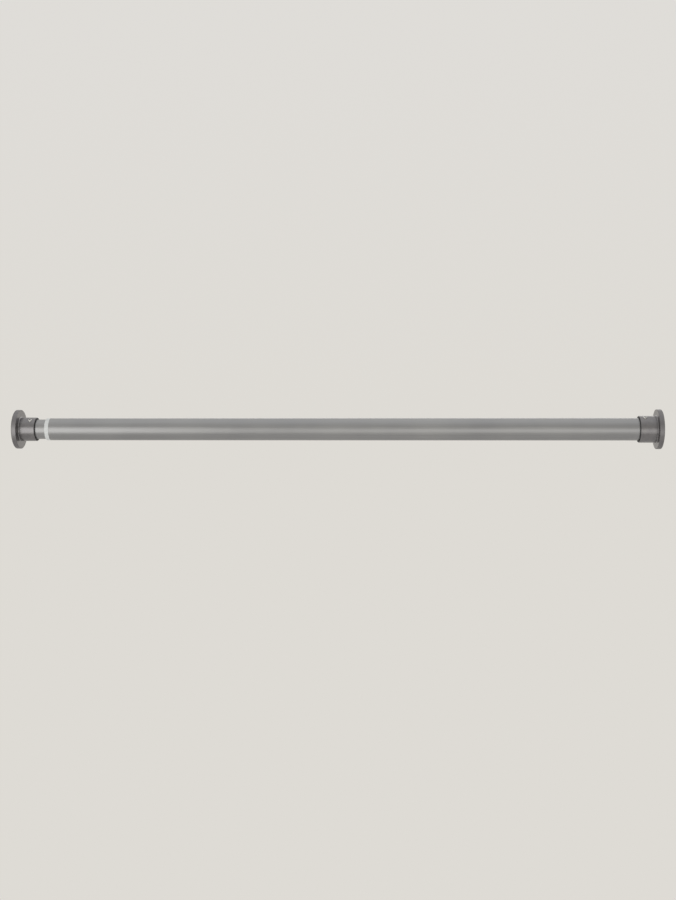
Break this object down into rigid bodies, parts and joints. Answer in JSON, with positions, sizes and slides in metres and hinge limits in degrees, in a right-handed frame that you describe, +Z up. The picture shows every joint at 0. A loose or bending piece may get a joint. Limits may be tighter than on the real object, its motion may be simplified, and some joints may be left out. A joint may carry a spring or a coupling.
{
  "type": "spring tension rod",
  "caption": "Telescoping spring tension rod for a window or alcove: satin grey metal tubes, a white guide bush, and a padded round flange with a set screw at each end.",
  "frame": {"origin": "on the rod's axis, midway between the two wall pads' faces at the rest length", "axes": "+X along the rod towards the outer tube's flange, +Z up, -Y towards the viewer"},
  "size_m": [0.7384, 0.0448, 0.0448],
  "materials": {
    "satin_pewter_tube": "satin",
    "satin_pewter_flange": "satin",
    "white_nylon": "satin",
    "black_rubber": "matte",
    "bright_screw_steel": "satin",
    "mechanism_nylon": "matte",
    "mechanism_steel": "satin",
    "spring_steel": "satin"
  },
  "bodies": {
    "outer": {"outer_tube": "satin_pewter_tube", "end_bush": "white_nylon", "right_flange": "satin_pewter_flange", "right_pad": "black_rubber", "right_mouth_ring": "black_rubber", "right_set_screw": "bright_screw_steel"},
    "glide": {"glide_ring": "mechanism_nylon"},
    "inner": {"inner_tube": "satin_pewter_tube", "left_flange": "satin_pewter_flange", "left_pad": "black_rubber", "left_mouth_ring": "black_rubber", "left_set_screw": "bright_screw_steel", "end_plug": "mechanism_nylon", "end_plug_pins": "mechanism_steel", "spring_stop": "mechanism_nylon", "spring_stop_pin": "mechanism_steel", "compression_spring": "spring_steel"},
    "plunger": {"plunger_shaft": "mechanism_steel", "plunger_head": "mechanism_nylon", "plunger_clip": "mechanism_steel", "lock_eccentric": "mechanism_steel", "lock_washer": "bright_screw_steel", "lock_screw": "bright_screw_steel"},
    "roller": {"lock_roller": "mechanism_nylon"}
  },
  "joints": [
    {"name": "telescope", "type": "slide", "parent": "outer", "child": "glide", "axis": [-1, 0, 0], "range_m": [-0.0085, 0.4]},
    {"name": "twist", "type": "hinge", "parent": "glide", "child": "inner", "pos_m": [0, 0, 0], "axis": [1, 0, 0], "range_deg": [-55, 55]},
    {"name": "spring_push", "type": "slide", "parent": "inner", "child": "plunger", "axis": [-1, 0, 0], "range_m": [0, 0.0085], "stiffness_N_per_m": 3200, "springref_m": -0.02, "deforming": ["compression_spring"]},
    {"name": "roller_turn", "type": "hinge", "parent": "plunger", "child": "roller", "pos_m": [0.2672, 0, 0.0004], "axis": [1, 0, 0], "range_deg": [-55, 55]}
  ],
  "couplings": [
    {"joint": "roller_turn", "follows": "twist", "ratio": -1}
  ]
}
